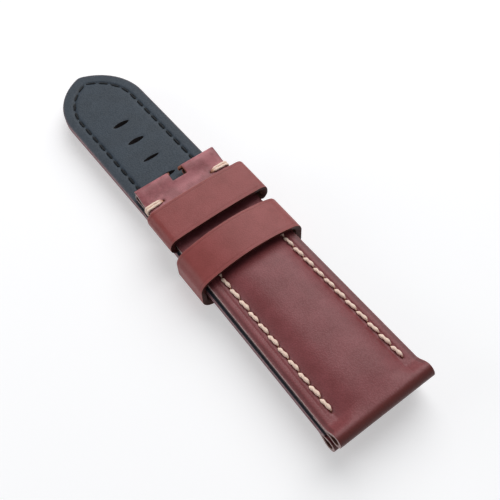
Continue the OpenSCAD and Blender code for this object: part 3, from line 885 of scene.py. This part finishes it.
def buildPadding(name, node, body, where, halfWidth):
    first, last = strap["padStart"], strap["padEnd"] - pad["shortened"]
    rows = [("top", y) for y in frange(first, last, pad["rowStep"])]
    rows = [("foot", first)] + rows + [("foot", last)]

    def at(share, row):
        y = row[1]
        foot = halfWidth(y) - strap["padFoot"]
        x = share * foot * pad["narrowed"]
        height = crownAt(x, foot, crown(y)) + rollRise(y) - pad["under"]
        if abs(share) > 0.9:
            height *= math.sqrt((1 - abs(share)) / 0.1)
        z = baseZ if row[0] == "foot" else baseZ + max(pad["under"], height)
        return where(x, y, z), x, y, farOff, farOff, 1.0

    piece = shapedGrid(name, [k / 20 for k in range(-20, 21)], rows, at, ("padding",),
                       facing=-1 if body == "tail_half" else 1)
    editAll(piece, bpy.ops.mesh.select_all, action="DESELECT")
    bpy.ops.object.mode_set(mode="EDIT")
    bpy.ops.mesh.select_non_manifold()
    bpy.ops.mesh.edge_face_add()
    bpy.ops.object.mode_set(mode="OBJECT")
    turnOutwards(piece)
    finishPiece(piece, node, body)


buildBuckleLining()
buildTailLining()
boardStart = strap["lugFlap"] + board["gap"]
buildBoard("boardBuckleHalf", "buckle_half_interlining", "buckle_half",
           frange(boardStart, strap["keeperFrom"] - board["gap"], 2))
buildBoard("boardBuckleEnd", "buckle_end_reinforcement", "buckle_half",
           frange(strap["keeperTo"] + board["gap"], board["end"], 1))
buildBoard("boardTailHalf", "tail_half_interlining", "tail_half",
           [("top", y) for y in frange(boardStart, shoulderY, 2)] + tipRows())
buildPadding("paddingBuckleHalf", "buckle_half_padding", "buckle_half", onBuckleHalf, buckleHalfWidth)
buildPadding("paddingTailHalf", "tail_half_padding", "tail_half", onTailHalf, tailHalfWidth)
print("linings, boards and padding made")


# a strand along points, closed and drawn in at its ends; sides gives its width, towards side, and its
# height at a share of its length
def strand(name, points, side, sides, segments, rings, twist, lobes):
    piece = added(bpy.ops.mesh.primitive_uv_sphere_add, name, segments=segments, ring_count=rings,
                  radius=1)
    lengths = runningLengths(points)

    def along(share):
        target = share * lengths[-1]
        k = max(i for i in range(len(points) - 1) if lengths[i] <= target + 1e-12)
        step = max(1e-9, lengths[k + 1] - lengths[k])
        return points[k].lerp(points[k + 1], (target - lengths[k]) / step)

    for vertex in piece.data.vertices:
        share = math.acos(-max(-1, min(1, vertex.co.z))) / math.pi
        around = math.atan2(vertex.co.y, vertex.co.x)
        ahead = (along(min(1, share + 0.02)) - along(max(0, share - 0.02))).normalized()
        sideways = (side - ahead * ahead.dot(side)).normalized()
        up = sideways.cross(ahead)
        width, height = sides(share)
        swell = 1 + lobes * math.cos(2 * around + twist * share * 2 * math.pi)
        vertex.co = (along(share) + sideways * (math.cos(around) * width / 2 * swell * mm)
                     + up * (math.sin(around) * height / 2 * swell * mm))
    return piece


faceStitch = {"width": 0.76, "height": 0.6, "neck": 0.4, "swell": 0.27, "rise": 0.16, "plunge": 0.42,
              "reach": 0.18, "slant": 0.14, "twist": 2.6, "lobes": 0.17, "sunk": 0.12}
liningStitch = {"width": 0.5, "height": 0.32, "neck": 0.35, "swell": 0.3, "rise": 0.03, "plunge": 0.3,
                "reach": 0.24, "slant": 0.0, "twist": 1.0, "lobes": 0.08, "sunk": 0.26}
unlike = 0.05  # how much the stitches of a row differ in lean and width


# one stitch from needle hole to needle hole, along +Y, on a sheet at z = 0
def modelStitch(name, look, segments, rings):
    points = []
    for k in range(21):
        t = k / 20
        ends = max(0, 1 - min(t, 1 - t) / look["reach"])
        z = look["height"] * 0.36 + look["rise"] * math.sin(math.pi * t) - look["plunge"] * ends ** 1.5
        points.append(Vector((look["slant"] * math.cos(math.pi * t), strap["pitch"] * t, z)) * mm)

    def sides(share):
        full = look["neck"] + (1 - look["neck"]) * smooth(0.04, look["swell"], min(share, 1 - share))
        ends = min(1, min(share, 1 - share) / 0.04) ** 0.5
        return look["width"] * full * ends, look["height"] * full * ends

    return strand(name, points, Vector((1, 0, 0)), sides, segments, rings, look["twist"], look["lobes"])


def sewSeam(name, needles, where, height, look, key, node, body, segments=14, rings=24):
    model = modelStitch(name, look, segments, rings)
    made = []
    for k, (a, b) in enumerate(zip(needles, needles[1:])):
        one = model.copy()
        one.data = model.data.copy()
        bpy.context.collection.objects.link(one)
        length = math.dist(a, b)
        dx, dy = (b[0] - a[0]) / length, (b[1] - a[1]) / length
        lean = unlike * math.sin(2.4 * k + 0.7)
        fat = 1 + unlike * math.sin(1.7 * k)
        for vertex in one.data.vertices:
            x, y, z = (place / mm for place in vertex.co)
            x, y = x * fat, y * length / strap["pitch"]
            x += lean * math.sin(math.pi * y / length)
            px, py = a[0] + dx * y + dy * x, a[1] + dy * y - dx * x
            vertex.co = where(px, py, height(z))
        made.append(one)
    bpy.data.objects.remove(model)
    row = joinPieces(made, name)
    turnOutwards(row)
    dress(row, (key,))
    finishPiece(row, node, body, 60)


def overFace(z):
    return marginTop - faceStitch["sunk"] + z


def underLining(z):
    return liningStitch["sunk"] - z


for label, edgeSide in (("left", -1), ("right", 1)):
    sewSeam("seamThread" + label.title(), buckleNeedles[edgeSide], onBuckleHalf, overFace, faceStitch,
            "thread", "buckle_half_seam_thread_" + label, "buckle_half")
    sewSeam("liningThread" + label.title(), buckleNeedles[edgeSide], onBuckleHalf, underLining,
            liningStitch, "liningThread", "buckle_half_lining_thread_" + label, "buckle_half",
            8, 10)
sewSeam("seamThreadTail", tailNeedles, onTailHalf, overFace, faceStitch, "thread",
        "tail_half_seam_thread", "tail_half", 10, 12)
sewSeam("liningThreadTail", tailNeedles, onTailHalf, underLining, liningStitch, "liningThread",
        "tail_half_lining_thread", "tail_half", 8, 10)

tack = {"width": 0.74, "height": 0.52, "spread": 0.36, "over": 0.2}


# two strands from a needle hole in the face, over the edge of the strap and back underneath
def buildTack(label, edgeSide):
    made = []
    edge = buckleHalfWidth(strap["tackAt"])
    inner = edge - strap["tackLength"]
    top = marginTop + tack["over"]
    # across, up, and how far the two strands lie apart
    route = ((inner + 0.1, top - 0.75, 0.1), (inner + 0.16, top - 0.3, 0.3),
             (inner + 0.5, top - 0.02, 0.6), (inner + 1.2, top + 0.06, 0.85),
             (inner + 2.2, top + 0.05, 1), (inner + 3.2, top, 1), (edge - 0.25, top - 0.05, 1),
             (edge + 0.1, top - 0.2, 1), (edge + 0.26, top - 0.6, 1), (edge + 0.3, 1.2, 1),
             (edge + 0.26, 0.62, 1), (edge + 0.05, 0.32, 1), (edge - 0.4, 0.28, 1), (edge - 2, 0.28, 1),
             (edge - 3.6, 0.3, 0.8), (inner + 0.2, 0.34, 0.4), (inner + 0.1, 0.6, 0.2))

    def sides(share):
        ends = min(1, min(share, 1 - share) / 0.03) ** 0.5 * (0.7 + 0.3 * smooth(0.03, 0.16, share))
        return tack["width"] * ends, tack["height"] * ends

    for strandSide in (-1, 1):
        apart = strandSide * tack["spread"]
        points = [onBuckleHalf(edgeSide * x, strap["tackAt"] + apart * spread, z)
                  for x, z, spread in route]
        made.append(strand("tack", points, Vector((0, 1, 0)), sides, 14, 64, 7, 0.07))
    row = joinPieces(made, "tackThread" + label.title())
    turnOutwards(row)
    dress(row, ("thread",))
    finishPiece(row, "tack_stitch_" + label, "buckle_half", 60)


buildTack("left", -1)
buildTack("right", 1)
print("seams and tacks sewn")

freeKeeper = {"y": 43.4, "width": 9.6, "thickness": 1.3, "halfWidth": 12.4, "low": -4.6, "top": 4.4,
              "bow": 36.0, "topBend": 1.9, "lowBend": 2.0, "x": 0.03, "tucked": False}
fixedKeeper = {"y": 55.8, "width": 9.6, "thickness": 1.3, "halfWidth": 12.05, "low": 1.5, "top": 4.1,
               "bow": 150.0, "topBend": 0.8, "lowBend": 0.8, "x": 0.3, "tucked": True}
keeperRim = {"crease": 0.75, "creaseDepth": 0.035, "creaseWidth": 0.12, "rounding": 0.05,
             "roundTo": 0.3, "bevel": 0.22}


# the outer outline of a keeper's band with its share of thickness, from the middle of the underside
# round by the right
def bandOutline(look):
    t = look["thickness"]
    half, low, top = look["halfWidth"], look["low"], look["top"]
    bowZ = top - look["bow"]
    bendX = half - look["topBend"]
    bendZ = bowZ + math.sqrt((look["bow"] - look["topBend"]) ** 2 - bendX ** 2)
    turn = math.atan2(bendZ - bowZ, bendX)
    cornerX, cornerZ, cornerR = half - look["lowBend"], low + look["lowBend"], look["lowBend"] + t
    if look["tucked"]:  # skived thin and glued between the layers of the strap
        thin = strap["core"] / t
        right = [(x, strap["lining"], thin) for x in frange(0, 10.8, 1.2)]
        right += [(11.4, 0.75, thin * 1.1), (11.65, 0.62, thin * 1.4), (11.9, 0.48, 0.6)]
        turns = [(-62, 0.78), (-50, 0.9), (-38, 1), (-25, 1), (-12, 1), (0, 1)]
    else:
        right = [(x, low - t, 1) for x in frange(0, cornerX, 0.8)[:-1]]
        turns = [(-90 + 9 * k, 1) for k in range(11)]
    right += [(*onCircle(cornerX, cornerZ, cornerR, math.radians(a)), share) for a, share in turns]
    if bendZ - cornerZ > 1:
        right += [(half + t, z, 1) for z in frange(cornerZ, bendZ, 0.7)[1:-1]]
    right += [(*onCircle(bendX, bendZ, look["topBend"] + t, turn * k / 10), 1) for k in range(11)]
    right += [(*onCircle(0, bowZ, look["bow"] + t, turn + (math.pi / 2 - turn) * k / 18), 1)
              for k in range(1, 19)]
    return right + [(-x, z, share) for x, z, share in reversed(right[1:-1])] + [right[0]]


def buildKeeper(name, look, node, body):
    outline = bandOutline(look)
    lengths = runningLengths([point[:2] for point in outline])
    # distances from a rim, closest at its crease
    marks = [0, 0.12, 0.3, 0.5, 0.6, 0.68, 0.75, 0.82, 0.9, 1.1, 1.6, 2.3, 3.1]
    across = marks + [3.9, 4.8, 5.7] + [look["width"] - m for m in reversed(marks)]
    last = len(outline) - 1

    def at(column, row):
        x, z, share = outline[row]
        edge = min(column, look["width"] - column)
        sink = keeperRim["creaseDepth"] * bump(edge - keeperRim["crease"], keeperRim["creaseWidth"])
        sink += keeperRim["rounding"] * (1 - min(1, edge / keeperRim["roundTo"])) ** 2
        before, after = outline[row - 1 if row else -2], outline[row + 1 if row < last else 1]
        size = math.hypot(after[0] - before[0], after[1] - before[1])
        nx, nz = (after[1] - before[1]) / size, -(after[0] - before[0]) / size
        place = onBuckleHalf(look["x"] + x - nx * sink, look["y"] + column, z - nz * sink)
        return place, lengths[row], column, edge, farOff, share

    piece = shapedGrid(name, across, list(range(len(outline))), at, ("keeper", "flesh", "burnished"))
    weld(piece)
    turnOutwards(piece)
    thicken(piece, look["thickness"])
    softenEdges(piece, keeperRim["bevel"], 3)
    finishPiece(piece, node, body, 50)


buildKeeper("keeperFree", freeKeeper, "free_keeper", "free_keeper")
buildKeeper("keeperFixed", fixedKeeper, "fixed_keeper", "buckle_half")
print("keepers made")

studio = {"floor": (0.7, 0.7, 0.71), "floorGlow": 0.42, "world": (0.93, 0.96, 1.0),
          "worldStrength": 0.19, "keyPower": 6.15, "keySize": 0.9, "keyPlace": (0.41, 0.33, 0.6),
          "fillPower": 1.3, "fillSize": 0.5, "fillPlace": (-0.58, 0.3, 0.17)}


# one where the camera sees a surface, also in a reflection or through glass
def seenDirectly(tree):
    path = tree.nodes.new("ShaderNodeLightPath").outputs
    return maths(tree, "MAXIMUM", path["Is Camera Ray"],
                 maths(tree, "MAXIMUM", path["Is Glossy Ray"], path["Is Transmission Ray"]))


def buildFloor():
    floor = added(bpy.ops.mesh.primitive_plane_add, "floor", size=6)
    editAll(floor, bpy.ops.mesh.subdivide, number_cuts=8)
    material, tree, shader = newMaterial("floor paper", 0.9)
    glow = times(tree, seenDirectly(tree), studio["floorGlow"])
    feed(tree, shader.inputs, {"Base Color": studio["floor"] + (1,), "Emission Color": (1, 1, 1, 1),
                               "Emission Strength": glow})
    floor.data.materials.append(material)


# a round soft lamp that looks at the middle of the strap
def addLight(name, power, size, place):
    lamp = added(bpy.ops.object.light_add, name, type="AREA", location=place)
    lamp.data.shape = "DISK"
    lamp.data.size = size
    lamp.data.energy = power
    lamp.rotation_euler = (-Vector(place)).to_track_quat("-Z", "Y").to_euler()


buildFloor()
for lampName in ("key", "fill"):
    addLight(lampName + "Light", studio[lampName + "Power"], studio[lampName + "Size"],
             studio[lampName + "Place"])
world = bpy.data.worlds.new("studio")
bpy.context.scene.world = world
world.use_nodes = True
sky = world.node_tree
skyStrength = remap(sky, seenDirectly(sky), 0, 1, studio["worldStrength"], 1)
feed(sky, sky.nodes["Background"].inputs, {"Color": studio["world"] + (1,), "Strength": skyStrength})

view = {"lens": 52.896, "sensor": 36, "place": (-47.150, -86.666, 143.091),
        "turn": (32.75794, 2.14782, -36.74787)}
camera = bpy.data.cameras.new("camera")
camera.lens = view["lens"]
camera.sensor_width = view["sensor"]
camera.clip_start = 0.01
cameraObject = bpy.data.objects.new("camera", camera)
bpy.context.collection.objects.link(cameraObject)
cameraObject.location = Vector(view["place"]) * mm
cameraObject.rotation_euler = [math.radians(angle) for angle in view["turn"]]
bpy.context.scene.camera = cameraObject
bpy.context.scene.view_settings.view_transform = "Standard"
print("floor, light and camera set")
